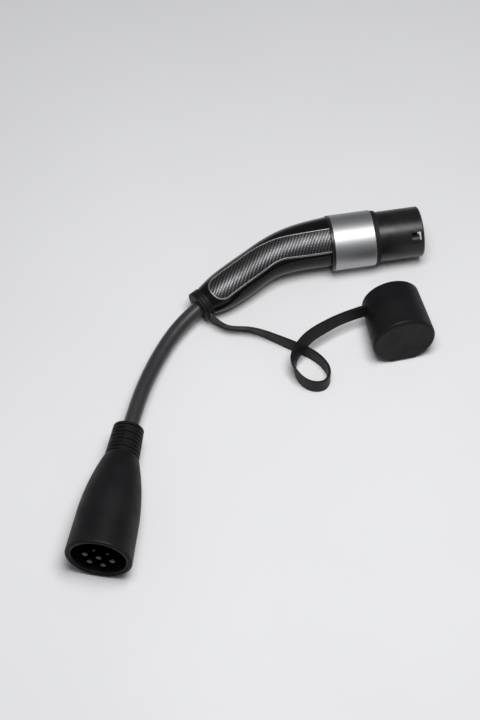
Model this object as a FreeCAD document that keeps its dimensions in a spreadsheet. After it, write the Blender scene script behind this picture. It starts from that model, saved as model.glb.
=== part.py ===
import FreeCAD, Part
import math
import os
import Sketcher
from FreeCAD import Placement, Rotation, Vector

# Charging adapter: a curved handle with a seven-contact plug at one end, a short stiff cable,
# and a bottle-shaped coupler with seven pins. A rubber cap hangs from the neck on a flat strap.
#
# Frames. The plug frame has +X along the plug's axis, out of its rim, with x = 0 at the rim. Its
# +Z is one side of the handle, and the handle bends towards -Y. The neck frame starts where the
# axes of plug and neck cross, with +X towards the cable. The coupler frame has +X from the
# cable end to the mouth. The cap frame has +X from its open rim to its closed face.

# Driving sizes, in millimetres and degrees
DIMENSIONS = {
    # how the parts lie on the floor
    "plug_axis_height": 30.3,
    "handle_roll": 12.0,
    "coupler_end_x": -347.77,
    "coupler_end_y": -194.93,
    "coupler_heading": -108.93,
    "coupler_roll": -13.0,
    "cap_rim_x": -49.8,
    "cap_rim_y": -81.5,
    "cap_heading": -87.3,
    # clearances
    "slip": 0.05,
    "swivel_gap": 0.3,
    # plug
    "plug_radius": 27.5,
    "plug_wall": 3.0,
    "plug_flat": 23.6,
    "plug_front_round": 1.4,
    "barrel_radius": 28.5,
    "ring_radius": 30.3,
    "ring_front": -53.6,
    "ring_length": 44.9,
    "ring_lip": 2.0,
    "ring_edge": 0.5,
    "gasket_length": 5.2,
    "gasket_radius": 29.3,
    "gasket_step": 0.5,
    "gasket_groove": 0.7,
    "gasket_seat": 0.4,
    "back_ring_length": 3.2,
    "notch_angle": 34.6,
    "notch_width": 9.2,
    "notch_length": 10.6,
    "notch_setback": 3.2,
    # contacts and their carrier
    "pitch_radius": 14.0,
    "carrier_base": 10.0,
    "carrier_seat": -56.0,
    "tower_front": -3.5,
    "power_tower_radius": 5.8,
    "signal_tower_radius": 4.0,
    "power_sleeve_radius": 4.0,
    "power_bore_radius": 3.05,
    "power_crimp_radius": 3.2,
    "signal_sleeve_radius": 2.4,
    "signal_bore_radius": 1.55,
    "signal_crimp_radius": 1.8,
    "sleeve_setback": 4.0,
    "sleeve_depth": 38.0,
    "crimp_length": 14.0,
    "crimp_depth": 10.0,
    "back_plate_thickness": 3.0,
    "plate_screw_ring": 20.6,
    "screw_radius": 1.4,
    "screw_head_radius": 2.7,
    "screw_head_height": 2.0,
    # handle
    "bend_vertex": -158.8,
    "bend_angle": 29.3,
    "bend_radius": 139.0,
    "handle_wall": 2.8,
    "seam_width": 0.5,
    "seam_depth": 0.35,
    "neck_reach": 98.1,
    "spigot_length": 18.0,
    "panel_depth": 1.4,
    "panel_gap": 0.15,
    "trim_width": 2.0,
    "trim_proud": 0.35,
    "panel_top": 5.5,
    "panel_bottom": -18.0,
    "panel_neck_top": 11.7,
    "panel_neck_bottom": -15.2,
    "panel_end": 91.2,
    "panel_top_round": 95.0,
    "panel_bottom_round": 42.0,
    "panel_end_round": 12.8,
    "boss_radius": 3.2,
    "housing_screw_length": 16.0,
    # neck collar, and the swivel eyelet in its groove
    "collar_radius": 16.9,
    "collar_flange": 3.4,
    "eyelet_thickness": 3.0,
    "groove_gap": 0.6,
    "groove_radius": 12.2,
    "collar_spigot_radius": 11.0,
    "collar_rim_radius": 13.4,
    "collar_rim_length": 2.4,
    "neck_wall": 5.0,
    # cable
    "cable_radius": 8.0,
    "cable_gap": 0.1,
    "cable_flare": 0.9,
    "cable_in_handle": 33.2,
    "cable_in_coupler": 53.0,
    "core_radius": 2.1,
    "signal_core_radius": 1.2,
    "core_ring": 4.9,
    "clamp_radius": 10.6,
    "clamp_length": 8.5,
    "clamp_split": 0.8,
    "clamp_ear": 4.2,
    "clamp_ear_thickness": 3.2,
    "clamp_standoff": 8.5,
    # cap and strap
    "cap_length": 59.4,
    "cap_rim_radius": 31.2,
    "cap_face_radius": 34.0,
    "cap_rim_flat": 27.3,
    "cap_face_flat": 31.8,
    "cap_cavity_gap": 0.3,
    "cap_depth": 49.0,
    "cap_face_round": 3.4,
    "cap_rim_round": 1.0,
    "strap_width": 17.0,
    "strap_thickness": 2.8,
    # coupler
    "coupler_length": 155.3,
    "relief_length": 36.0,
    "relief_end_radius": 16.1,
    "relief_root_radius": 17.8,
    "relief_core_radius": 11.2,
    "relief_slot": 1.5,
    "relief_pitch": 4.5,
    "relief_first_slot": 2.6,
    "relief_bridge": 12.0,
    "relief_roll": -20.0,
    "shoulder_setback": 44.0,
    "shoulder_radius": 32.2,
    "mouth_radius": 34.2,
    "lip_round": 2.6,
    "lip_inner_round": 1.2,
    "shell_radius": 30.2,
    "mouth_bore": 27.9,
    "carrier_seat_step": 0.5,
    "shell_length": 52.0,
    "shell_setback": 1.2,
    "coupler_wall": 4.0,
    "pin_face_depth": 27.0,
    "pin_tip_depth": 2.0,
    "pin_carrier_thickness": 14.0,
    "power_pin_radius": 3.0,
    "signal_pin_radius": 1.5,
    "pin_round": 0.9,
    "pin_tail": 10.0,
    "pin_shoulder": 0.4,
    "pin_collar": 0.9,
    "lock_ring_length": 5.0,
    "lock_ring_bore": 21.5,
}

doc = FreeCAD.newDocument("charging_adapter")
sheet = doc.addObject("Spreadsheet::Sheet", "Sizes")
for row, (alias, number) in enumerate(DIMENSIONS.items(), start=1):
    sheet.set(f"A{row}", alias)
    sheet.set(f"B{row}", str(number))
    sheet.setAlias(f"B{row}", alias)
doc.recompute()


class Size:
    """A length or angle from the sheet, or a sum of such, with its value and its expression."""

    def __init__(self, value, text):
        self.value = float(value)
        self.text = text

    def __float__(self):
        return self.value

    def __add__(self, other):
        other = size(other)
        return Size(self.value + other.value, f"({self.text} + {other.text})")

    def __sub__(self, other):
        other = size(other)
        return Size(self.value - other.value, f"({self.text} - {other.text})")

    def __mul__(self, other):
        other = size(other)
        return Size(self.value * other.value, f"({self.text} * {other.text})")

    def __truediv__(self, other):
        other = size(other)
        return Size(self.value / other.value, f"({self.text} / {other.text})")

    def __neg__(self):
        return Size(-self.value, f"(-{self.text})")

    __radd__ = __add__


def size(value):
    return value if isinstance(value, Size) else Size(value, f"{value:.6g}")


class Sizes:
    """The sheet's cells by name."""

    def __getattr__(self, alias):
        return Size(sheet.get(alias), f"Sizes.{alias}")


z = Sizes()
ZERO = size(0)
pieces = {}


def cosine(angle):
    return math.cos(math.radians(float(angle)))


def sine(angle):
    return math.sin(math.radians(float(angle)))


# Places of the four frames
PLUG_PLACE = Placement(
    Vector(0, 0, float(z.plug_axis_height)), Rotation(Vector(1, 0, 0), float(z.handle_roll))
)
NECK_IN_PLUG = Placement(
    Vector(float(z.bend_vertex), 0, 0), Rotation(Vector(0, 0, 1), 180 + float(z.bend_angle))
)
NECK_PLACE = PLUG_PLACE * NECK_IN_PLUG

# The coupler lies on the cone between its shoulder and its mouth
coupler_pitch = math.degrees(
    math.atan2(float(z.mouth_radius - z.shoulder_radius), float(z.shoulder_setback))
)
coupler_rise = float(z.coupler_length) * sine(coupler_pitch)
coupler_end_z = float(z.mouth_radius) * cosine(coupler_pitch) - coupler_rise
COUPLER_PLACE = Placement(
    Vector(float(z.coupler_end_x), float(z.coupler_end_y), coupler_end_z),
    Rotation(Vector(0, 0, 1), float(z.coupler_heading)) * Rotation(Vector(0, 1, 0), -coupler_pitch),
)
PIN_PLACE = COUPLER_PLACE * Placement(Vector(), Rotation(Vector(1, 0, 0), 90 + float(z.coupler_roll)))


def register(name, thing, place=None):
    """Keeps a sub-part under its label, with the frame that it stands in."""
    thing.Label = name
    pieces[name] = (thing, place if place is not None else Placement())
    return thing


def solid_feature(name, shape, place=None):
    feature = doc.addObject("Part::Feature", name)
    feature.Shape = shape
    return register(name, feature, place)


# Turned pieces: a closed outline of (x, radius) points, revolved about the X axis
def tangent_arc(start, end, beyond):
    """The arc from start to end that leaves end towards beyond."""
    along = (beyond - end).normalize()
    normal = Vector(-along.y, along.x, 0)
    chord = start - end
    radius = chord.dot(chord) / (2 * chord.dot(normal))
    centre = end + normal * radius
    middle = (start + end) / 2 - centre
    return Part.Arc(start, centre + middle.normalize() * abs(radius), end)


def turned(name, outline, place=None, arcs=()):
    """A body revolved from an outline. A side in arcs is an arc, tangent to the side after it."""
    body = doc.addObject("PartDesign::Body", name)
    sketch = body.newObject("Sketcher::SketchObject", f"{name}_outline")
    plane = next(f for f in body.Origin.OriginFeatures if f.Role == "XY_Plane")
    sketch.AttachmentSupport = [(plane, "")]
    sketch.MapMode = "FlatFace"
    points = [Vector(float(x), float(y), 0) for x, y in outline]
    count = len(points)
    starts = []
    ends = []
    for i, point in enumerate(points):
        after = points[(i + 1) % count]
        if i in arcs:
            arc = tangent_arc(point, after, points[(i + 2) % count])
            side = sketch.addGeometry(arc, False)
            forward = sketch.getPoint(side, 1).distanceToPoint(point) < 1e-6
            starts.append((side, 1 if forward else 2))
            ends.append((side, 2 if forward else 1))
        else:
            side = sketch.addGeometry(Part.LineSegment(point, after), False)
            starts.append((side, 1))
            ends.append((side, 2))
    for i in range(count):
        sketch.addConstraint(Sketcher.Constraint("Coincident", *ends[i - 1], *starts[i]))
    for i in arcs:
        sketch.addConstraint(Sketcher.Constraint("Tangent", *ends[i], *starts[(i + 1) % count]))
        joint = next(
            k
            for k, c in enumerate(sketch.Constraints)
            if c.Type == "Coincident" and {(c.First, c.FirstPos), (c.Second, c.SecondPos)}
            == {ends[i], starts[(i + 1) % count]}
        )
        sketch.delConstraint(joint)
    for i, (x, y) in enumerate(outline):
        for kind, length in (("DistanceX", x), ("DistanceY", y)):
            number = sketch.addConstraint(Sketcher.Constraint(kind, -1, 1, *starts[i], float(length)))
            if length.text != ZERO.text:
                sketch.setExpression(f"Constraints[{number}]", length.text)
    turn = body.newObject("PartDesign::Revolution", f"{name}_turn")
    turn.Profile = sketch
    turn.ReferenceAxis = (sketch, ["H_Axis"])
    turn.Angle = 360
    doc.recompute()
    return register(name, body, place)


def round_rims(body, rims, radius):
    """Rounds the circular edges of a turned body that lie at the (x, radius) places in rims."""
    base = body.Tip
    names = []
    for number, edge in enumerate(base.Shape.Edges, start=1):
        if edge.Curve.TypeId != "Part::GeomCircle":
            continue
        for x, r in rims:
            centred = abs(edge.Curve.Center.x - float(x)) < 1e-4
            if centred and abs(edge.Curve.Radius - float(r)) < 1e-4:
                names.append(f"Edge{number}")
    fillet = body.newObject("PartDesign::Fillet", f"{body.Name}_round{len(body.Group)}")
    fillet.Base = (base, names)
    fillet.Radius = float(radius)
    fillet.setExpression("Radius", radius.text)
    doc.recompute()
    return body


def ring_outline(back, front, inner, outer):
    return [(back, inner), (back, outer), (front, outer), (front, inner)]


# Plain primitives, for the moulded pieces that are built by booleans
def cylinder(name, radius, back, front, y=0.0, across=0.0):
    """A cylinder along X from back to front, with its axis at the given y and z."""
    bar = doc.addObject("Part::Cylinder", name)
    bar.setExpression("Radius", radius.text)
    bar.setExpression("Height", (front - back).text)
    bar.Placement = Placement(Vector(float(back), y, across), Rotation(Vector(0, 1, 0), 90))
    return bar


def box(name, length, width, height, corner, turn=None):
    block = doc.addObject("Part::Box", name)
    block.setExpression("Length", length.text)
    block.setExpression("Width", width.text)
    block.setExpression("Height", height.text)
    block.Placement = Placement(corner, turn or Rotation())
    return block


def combine(kind, name, base, tools):
    """Part::Cut, Part::Common or Part::MultiFuse of a base and one or more tools."""
    if kind == "Part::MultiFuse":
        whole = doc.addObject(kind, name)
        whole.Shapes = [base] + tools
        return whole
    tool = tools[0]
    if len(tools) > 1:
        tool = doc.addObject("Part::MultiFuse", f"{name}_tools")
        tool.Shapes = tools
    whole = doc.addObject(kind, name)
    whole.Base = base
    whole.Tool = tool
    return whole


# Seven places on a hexagon: (name, angle from +Z towards +Y, power or signal)
POWER_PLACES = [("left", 0.0), ("right", 180.0), ("lower_left", -60.0), ("lower_right", -120.0)]
SIGNAL_PLACES = [("signal_left", 60.0), ("signal_right", 120.0)]


def hexagon_place(angle):
    """The (y, z) of a contact's axis."""
    reach = float(z.pitch_radius)
    return reach * sine(angle), reach * cosine(angle)


# Plug shroud: a barrel under the metal ring, and a D-shaped tube with a lock notch
ring_back = z.ring_front - z.ring_length
cavity_radius = z.plug_radius - z.plug_wall
cavity_flat = z.plug_flat - z.plug_wall
D_SPAN = 80.0


def d_tube(name, radius, flat, back, front):
    """A round bar with a flat on its +Y side."""
    bar = cylinder(f"{name}_bar", radius, back, front)
    corner = Vector(float(back), -D_SPAN, -D_SPAN / 2)
    below = box(f"{name}_below", front - back, flat + D_SPAN, size(D_SPAN), corner)
    return combine("Part::Common", name, bar, [below])


def make_shroud():
    gasket_front = z.ring_front + z.gasket_length
    barrel = cylinder("shroud_barrel", z.barrel_radius, ring_back, z.ring_front - z.ring_lip)
    neck = cylinder("shroud_neck", z.plug_radius + z.gasket_seat, ring_back, gasket_front)
    front = d_tube("shroud_front", z.plug_radius, z.plug_flat, z.ring_front, ZERO)
    solid = combine("Part::MultiFuse", "shroud_solid", barrel, [neck, front])
    rear_bore = cylinder("shroud_rear_bore", cavity_radius, ring_back, z.ring_front)
    front_bore = d_tube("shroud_front_bore", cavity_radius, cavity_flat, z.ring_front, ZERO)
    turn = Rotation(Vector(1, 0, 0), float(z.notch_angle))
    back = float(-z.notch_setback - z.notch_length)
    corner = turn.multVec(Vector(back, -float(z.notch_width) / 2, float(cavity_radius) - 1))
    notch = box("shroud_notch", z.notch_length, z.notch_width, z.plug_wall + 3, corner, turn)
    whole = combine("Part::Cut", "shroud_cut", solid, [rear_bore, front_bore, notch])
    doc.recompute()
    rims = []
    for number, edge in enumerate(whole.Shape.Edges, start=1):
        on_rim = all(abs(v.X) < 1e-4 for v in edge.Vertexes)
        outside = max(math.hypot(v.Y, v.Z) for v in edge.Vertexes) > float(z.plug_radius) - 0.5
        if on_rim and outside:
            rims.append((number, float(z.plug_front_round), float(z.plug_front_round)))
    rounded = doc.addObject("Part::Chamfer", "plug_shroud")
    rounded.Base = whole
    rounded.Edges = rims
    return register("plug_shroud", rounded, PLUG_PLACE)


# Silver ring with an inner lip at its front, the rubber gasket ahead of it and the black ring behind
def make_rings():
    front = z.ring_front
    lip = front - z.ring_lip
    inner = z.plug_radius + z.gasket_seat + z.slip
    outline = [
        (ring_back, z.barrel_radius + z.slip),
        (ring_back, z.ring_radius),
        (front, z.ring_radius),
        (front, inner),
        (lip, inner),
        (lip, z.barrel_radius + z.slip),
    ]
    ring = turned("silver_ring", outline, PLUG_PLACE)
    round_rims(ring, [(ring_back, z.ring_radius), (front, z.ring_radius)], z.ring_edge)

    low = z.gasket_radius - z.gasket_groove
    lower = z.gasket_radius - z.gasket_step
    first = front + z.gasket_length / 3
    second = front + z.gasket_length * 2 / 3
    outline = [
        (front, inner),
        (front, z.gasket_radius),
        (first, z.gasket_radius),
        (first, low),
        (first + z.gasket_step, low),
        (first + z.gasket_step, z.gasket_radius),
        (second, z.gasket_radius),
        (second, low),
        (second + z.gasket_step, low),
        (second + z.gasket_step, lower),
        (front + z.gasket_length, lower),
        (front + z.gasket_length, inner),
    ]
    turned("front_gasket", outline, PLUG_PLACE)

    back = ring_back - z.back_ring_length
    outline = ring_outline(back, ring_back, cavity_radius, z.ring_radius)
    ring = turned("rear_ring", outline, PLUG_PLACE)
    round_rims(ring, [(back, z.ring_radius)], z.ring_edge)


# Contact carrier with seven towers, its back plate and three screws
def make_carrier():
    seat = z.carrier_seat
    face = seat + z.carrier_base
    base = d_tube("carrier_base", cavity_radius - z.slip, cavity_flat - z.slip, seat, face)
    back = seat - z.back_plate_thickness
    plate = d_tube("carrier_plate", cavity_radius - z.slip, cavity_flat - z.slip, back, seat)
    towers = []
    holes = []
    plate_holes = []
    for name, angle in [("earth", None)] + POWER_PLACES + SIGNAL_PLACES:
        y, across = (0.0, 0.0) if angle is None else hexagon_place(angle)
        signal = name.startswith("signal")
        tower = z.signal_tower_radius if signal else z.power_tower_radius
        sleeve = z.signal_sleeve_radius if signal else z.power_sleeve_radius
        crimp = z.signal_crimp_radius if signal else z.power_crimp_radius
        towers.append(cylinder(f"tower_{name}", tower, face, z.tower_front, y, across))
        holes.append(cylinder(f"hole_{name}", sleeve + z.slip, seat, z.tower_front, y, across))
        plate_holes.append(cylinder(f"plate_hole_{name}", crimp + z.slip, back, seat, y, across))
    screws = []
    for number in range(3):
        angle = 30 + 120 * number
        y = float(z.plate_screw_ring) * sine(angle)
        across = float(z.plate_screw_ring) * cosine(angle)
        tip = face - 2
        hole = cylinder(f"screw_hole{number}", z.screw_radius + z.slip, back, tip, y, across)
        plate_holes.append(hole)
        holes.append(hole)
        shank = Part.makeCylinder(
            float(z.screw_radius), float(tip - back) - 0.5, Vector(float(back), y, across), Vector(1, 0, 0)
        )
        cap = Part.makeCylinder(
            float(z.screw_head_radius),
            float(z.screw_head_height),
            Vector(float(back - z.screw_head_height), y, across),
            Vector(1, 0, 0),
        )
        screws.append(cap.fuse(shank).removeSplitter())
    body = combine("Part::MultiFuse", "carrier_solid", base, towers)
    drilled = combine("Part::Cut", "contact_carrier", body, holes)
    register("contact_carrier", drilled, PLUG_PLACE)
    drilled = combine("Part::Cut", "carrier_back_plate", plate, plate_holes)
    register("carrier_back_plate", drilled, PLUG_PLACE)
    solid_feature("carrier_screws", Part.makeCompound(screws), PLUG_PLACE)


# A contact: a sleeve open to the front and a crimp barrel open to the back
def make_contact(name, y, across, radius, bore, crimp):
    seat = z.carrier_seat
    tip = z.tower_front - z.sleeve_setback
    tail = seat - z.crimp_length
    wire = crimp - 0.7
    outline = [
        (tail, wire),
        (tail, crimp),
        (seat, crimp),
        (seat, radius),
        (tip, radius),
        (tip, bore),
        (tip - z.sleeve_depth, bore),
        (tip - z.sleeve_depth, ZERO),
        (tail + z.crimp_depth, ZERO),
        (tail + z.crimp_depth, wire),
    ]
    return turned(name, outline, PLUG_PLACE * Placement(Vector(0, y, across), Rotation()))


def make_contacts():
    power = (z.power_sleeve_radius, z.power_bore_radius, z.power_crimp_radius)
    signal = (z.signal_sleeve_radius, z.signal_bore_radius, z.signal_crimp_radius)
    make_contact("earth_contact", 0, 0, *power)
    for place, angle in POWER_PLACES:
        make_contact(f"power_contact_{place}", *hexagon_place(angle), *power)
    for place, angle in SIGNAL_PLACES:
        make_contact(place.replace("signal", "signal_contact"), *hexagon_place(angle), *signal)


# Handle: a smooth loft of round sections along the bent axis. Each section is
# (distance along the axis behind the silver ring, radius, offset to the outside of the bend).
HANDLE_SECTIONS = [
    (3.2, 27.1, 2.5),
    (14.0, 26.6, 1.9),
    (28.0, 25.7, 1.1),
    (47.5, 24.2, 0.3),
    (71.0, 21.9, -0.4),
    (95.0, 21.3, -1.6),
]

# The same for the neck, with the distance measured back from its end
NECK_SECTIONS = [
    (34.9, 21.4, -1.5),
    (21.9, 20.5, -1.2),
    (11.9, 18.9, -0.8),
    (4.9, 17.2, -0.3),
    (0.0, 15.9, 0.0),
]


def handle_axis(distance):
    """Place on the bent axis at a distance behind the silver ring, and the turn there."""
    tangent = float(z.bend_radius) * math.tan(math.radians(float(z.bend_angle)) / 2)
    start = float(ring_back) - (float(z.bend_vertex) + tangent)
    arc = float(z.bend_radius) * math.radians(float(z.bend_angle))
    if distance <= start:
        return Vector(float(ring_back) - distance, 0, 0), 0.0
    if distance <= start + arc:
        turn = (distance - start) / float(z.bend_radius)
        x = float(z.bend_vertex) + tangent - float(z.bend_radius) * math.sin(turn)
        y = -float(z.bend_radius) * (1 - math.cos(turn))
        return Vector(x, y, 0), math.degrees(turn)
    reach = tangent + distance - start - arc
    return NECK_IN_PLUG.multVec(Vector(reach, 0, 0)), float(z.bend_angle)


def neck_distance(reach):
    """Distance behind the silver ring of a place on the neck axis."""
    tangent = float(z.bend_radius) * math.tan(math.radians(float(z.bend_angle)) / 2)
    start = float(ring_back) - (float(z.bend_vertex) + tangent)
    return start + float(z.bend_radius) * math.radians(float(z.bend_angle)) + float(reach) - tangent


def handle_ring(distance, radius, offset):
    """A circle across the bent axis, moved to the outside of the bend."""
    place, turn = handle_axis(distance)
    across = Vector(-sine(turn), cosine(turn), 0)
    along = Vector(cosine(turn), sine(turn), 0)
    return Part.Wire(Part.makeCircle(radius, place + across * offset, along))


def handle_loft(growth, start=None, end=None):
    """The handle's outer form, grown or shrunk, from one end to the other."""
    last = neck_distance(z.neck_reach)
    sections = HANDLE_SECTIONS + [(last - back, r, o) for back, r, o in NECK_SECTIONS]
    if start is not None:
        sections = [s for s in sections if s[0] > start + 2]
        sections.insert(0, (start, 27.0, 2.3))
    if end is not None:
        sections = [s for s in sections if s[0] < end - 2]
        sections.append((end, 18.5, -0.7))
    wires = [handle_ring(d, r + growth, o) for d, r, o in sections]
    return Part.makeLoft(wires, True, False)


def rounded_path(points, radii, closed):
    """Edges of straight runs joined by tangent arcs, through the given corners."""
    count = len(points)
    corners = {}
    for i in range(count):
        if not closed and i in (0, count - 1):
            continue
        before = (points[i - 1] - points[i]).normalize()
        after = (points[(i + 1) % count] - points[i]).normalize()
        half = before.getAngle(after) / 2
        setback = radii[i] / math.tan(half)
        middle = (before + after).normalize() * (radii[i] / math.sin(half) - radii[i])
        corners[i] = (points[i] + before * setback, points[i] + middle, points[i] + after * setback)
    edges = []
    for i in range(count):
        if i in corners:
            edges.append(Part.Arc(*corners[i]).toShape())
        following = (i + 1) % count
        if not closed and i == count - 1:
            continue
        start = corners[i][2] if i in corners else points[i]
        end = corners[following][0] if following in corners else points[following]
        if start.distanceToPoint(end) > 1e-6:
            edges.append(Part.LineSegment(start, end).toShape())
    return edges


def panel_prism(growth, side):
    """Everything on one side of the handle inside the grip panel's outline, grown by a margin."""
    turn = float(z.bend_angle)
    out = Vector(-sine(turn), cosine(turn), 0)
    neck = Vector(-cosine(turn), -sine(turn), 0)
    vertex = Vector(float(z.bend_vertex), 0, 0)
    top = float(z.panel_top) + growth
    bottom = float(z.panel_bottom) - growth
    neck_top = float(z.panel_neck_top) + growth
    neck_bottom = float(z.panel_neck_bottom) - growth
    front = float(ring_back) + 2 - float(z.back_ring_length)
    end = float(z.panel_end) + growth

    def bend_corner(level, offset):
        point = vertex + out * offset
        reach = (level - point.y) / neck.y
        return point + neck * reach

    corners = [
        Vector(front, top, 0),
        bend_corner(top, neck_top),
        vertex + neck * end + out * neck_top,
        vertex + neck * end + out * neck_bottom,
        bend_corner(bottom, neck_bottom),
        Vector(front, bottom, 0),
    ]
    rounds = [
        0.01,
        float(z.panel_top_round) + growth,
        float(z.panel_end_round) + growth,
        float(z.panel_end_round) + growth,
        float(z.panel_bottom_round) - growth,
        0.01,
    ]
    face = Part.Face(Part.Wire(rounded_path(corners, rounds, True)))
    return face.extrude(Vector(0, 0, side * 40.0))


def housing_screw_places():
    """Three (x, y) places for the screws under the grip panels, clear of the cores."""
    places = []
    for distance, offset in ((17.0, -13.4), (66.0, -11.4), (106.0, -11.2)):
        place, turn = handle_axis(distance)
        across = Vector(-sine(turn), cosine(turn), 0)
        places.append(place + across * offset)
    return places


def z_bar(radius, low, high, place):
    return Part.makeCylinder(radius, high - low, Vector(place.x, place.y, low))


def make_handle():
    wall = float(z.handle_wall)
    outer = handle_loft(0.0)
    under_panel = handle_loft(-float(z.panel_depth))
    proud = handle_loft(float(z.trim_proud))
    back = float(ring_back) - float(z.back_ring_length)
    bore = float(cavity_radius) - float(z.slip)
    spigot = Part.makeCylinder(bore, float(z.spigot_length), Vector(back, 0, 0), Vector(1, 0, 0))
    opening = float(z.spigot_length) + 14
    passage = Part.makeCylinder(bore - wall, opening, Vector(back - 14, 0, 0), Vector(1, 0, 0))
    last = neck_distance(z.neck_reach)
    inside = handle_loft(-wall, 9.0, last - float(z.neck_wall))
    neck_bore = Part.makeCylinder(float(z.collar_spigot_radius) + float(z.slip), 30.0)
    rim_length = float(z.collar_rim_length) + 6.0
    rim_seat = Part.makeCylinder(float(z.collar_rim_radius) + float(z.slip), rim_length)
    along_neck = Rotation(Vector(0, 1, 0), 90)
    neck_bore.Placement = NECK_IN_PLUG * Placement(Vector(float(z.neck_reach) - 20, 0, 0), along_neck)
    rim_start = float(z.neck_reach) - float(z.neck_wall) - rim_length
    rim_seat.Placement = NECK_IN_PLUG * Placement(Vector(rim_start, 0, 0), along_neck)
    hollow = inside.fuse([passage, neck_bore, rim_seat])
    screw = float(z.screw_radius)
    head_seat = 8.0
    tip = head_seat - float(z.housing_screw_length)
    bosses = [z_bar(float(z.boss_radius), -30.0, 30.0, p) for p in housing_screw_places()]
    columns = Part.makeCompound(bosses).common(inside)
    seam = float(z.seam_width)
    seam_space = Part.makeBox(400, 400, seam, Vector(-350, -200, -seam / 2))
    groove = outer.cut(handle_loft(-float(z.seam_depth))).common(seam_space)
    body = outer.fuse(spigot).cut(hollow).fuse(columns.Solids).cut(groove)
    upper_space = Part.makeBox(400, 400, 60, Vector(-350, -200, 0))
    lower_space = Part.makeBox(400, 400, 60, Vector(-350, -200, -60))
    width = float(z.trim_width)
    gap = float(z.panel_gap)
    screws = []
    for place in housing_screw_places():
        wide = z_bar(float(z.screw_head_radius) + 0.2, head_seat, 40.0, place)
        through = z_bar(screw + float(z.slip), tip - 1, head_seat, place)
        body = body.cut([wide, through])
        head = z_bar(float(z.screw_head_radius), head_seat, head_seat + float(z.screw_head_height), place)
        shank = z_bar(screw, tip, head_seat, place)
        screws.append(head.fuse(shank).removeSplitter())
    for name, side, space in (("left", 1, upper_space), ("right", -1, lower_space)):
        recess = panel_prism(width / 2, side).cut(under_panel)
        half = body.common(space).cut(recess)
        solid_feature(f"handle_half_{name}", half, PLUG_PLACE)
        skin = outer.cut(under_panel)
        shaped = skin.common(panel_prism(-width / 2 - gap, side))
        solid_feature(f"grip_panel_{name}", shaped, PLUG_PLACE)
        band = panel_prism(width / 2 - gap, side).cut(panel_prism(-width / 2, side))
        edge = proud.cut(under_panel).common(band)
        solid_feature(f"panel_trim_{name}", edge, PLUG_PLACE)
    solid_feature("housing_screws", Part.makeCompound(screws), PLUG_PLACE)


# Neck collar: two flanges with the eyelet's groove between, and a spigot held by the handle
def collar_groove():
    """The flange faces along the neck axis."""
    start = z.neck_reach
    groove = start + z.collar_flange
    groove_end = groove + z.eyelet_thickness + z.groove_gap
    return start, groove, groove_end, groove_end + z.collar_flange


def make_collar():
    start, groove, groove_end, end = collar_groove()
    bore = z.cable_radius + z.cable_gap
    inner = start - z.neck_wall
    outline = [
        (inner - z.collar_rim_length, bore),
        (inner - z.collar_rim_length, z.collar_rim_radius),
        (inner, z.collar_rim_radius),
        (inner, z.collar_spigot_radius),
        (start, z.collar_spigot_radius),
        (start, z.collar_radius),
        (groove, z.collar_radius),
        (groove, z.groove_radius),
        (groove_end, z.groove_radius),
        (groove_end, z.collar_radius),
        (end, z.collar_radius),
        (end, bore + z.cable_flare),
        (end - z.collar_flange * 3, bore),
    ]
    body = turned("neck_collar", outline, NECK_PLACE)
    rims = [(x, z.collar_radius) for x in (groove, groove_end, end)]
    round_rims(body, rims, z.ring_edge)


# Cord clamp: two saddles with ears round the cable, and two screws
def make_clamp(prefix, place, middle):
    reach = float(z.clamp_length)
    radius = float(z.clamp_radius)
    ear = float(z.clamp_ear)
    thick = float(z.clamp_ear_thickness)
    split = float(z.clamp_split)
    axis = Vector(1, 0, 0)
    start = Vector(middle - reach / 2, 0, 0)
    ring = Part.makeCylinder(radius, reach, start, axis)
    corner = Vector(start.x, -radius - ear, -thick - split / 2)
    bar = Part.makeBox(reach, 2 * (radius + ear), 2 * thick + split, corner)
    bore = Part.makeCylinder(float(z.cable_radius) + float(z.slip), reach, start, axis)
    gap = Part.makeBox(reach, 80, split, Vector(start.x, -40, -split / 2))
    solid = ring.fuse(bar).cut([bore, gap])
    screws = []
    for side in (1, -1):
        at = Vector(middle, side * (radius + ear / 2), 0)
        top = thick + split / 2
        hole = z_bar(float(z.screw_radius) + float(z.slip), -top, top, at)
        solid = solid.cut(hole)
        head = z_bar(ear / 2, top, top + float(z.screw_head_height), at)
        shank = z_bar(float(z.screw_radius), -top, top, at)
        screws.append(head.fuse(shank).removeSplitter())
    for side, half in zip(("upper", "lower"), sorted(solid.Solids, key=lambda s: -s.CenterOfMass.z)):
        solid_feature(f"{prefix}_clamp_{side}", half, place)
    solid_feature(f"{prefix}_clamp_screws", Part.makeCompound(screws), place)


# Cable: straight runs and tangent arcs, from inside the handle to inside the coupler
def tube(points, radius, bends):
    """A round bar swept along straight runs and tangent arcs."""
    spine = Part.Wire(rounded_path(points, bends, False))
    start = points[0]
    profile = Part.Wire(Part.makeCircle(radius, start, points[1] - start))
    return spine.makePipeShell([profile], True, False), spine


def widest_bends(points):
    """For each corner, 0.45 of its shorter run over the tangent of half the turn."""
    bends = [0.0] * len(points)
    for i in range(1, len(points) - 1):
        before = points[i] - points[i - 1]
        after = points[i + 1] - points[i]
        turn = before.getAngle(after)
        bends[i] = 0.45 * min(before.Length, after.Length) / math.tan(turn / 2)
    return bends


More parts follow.
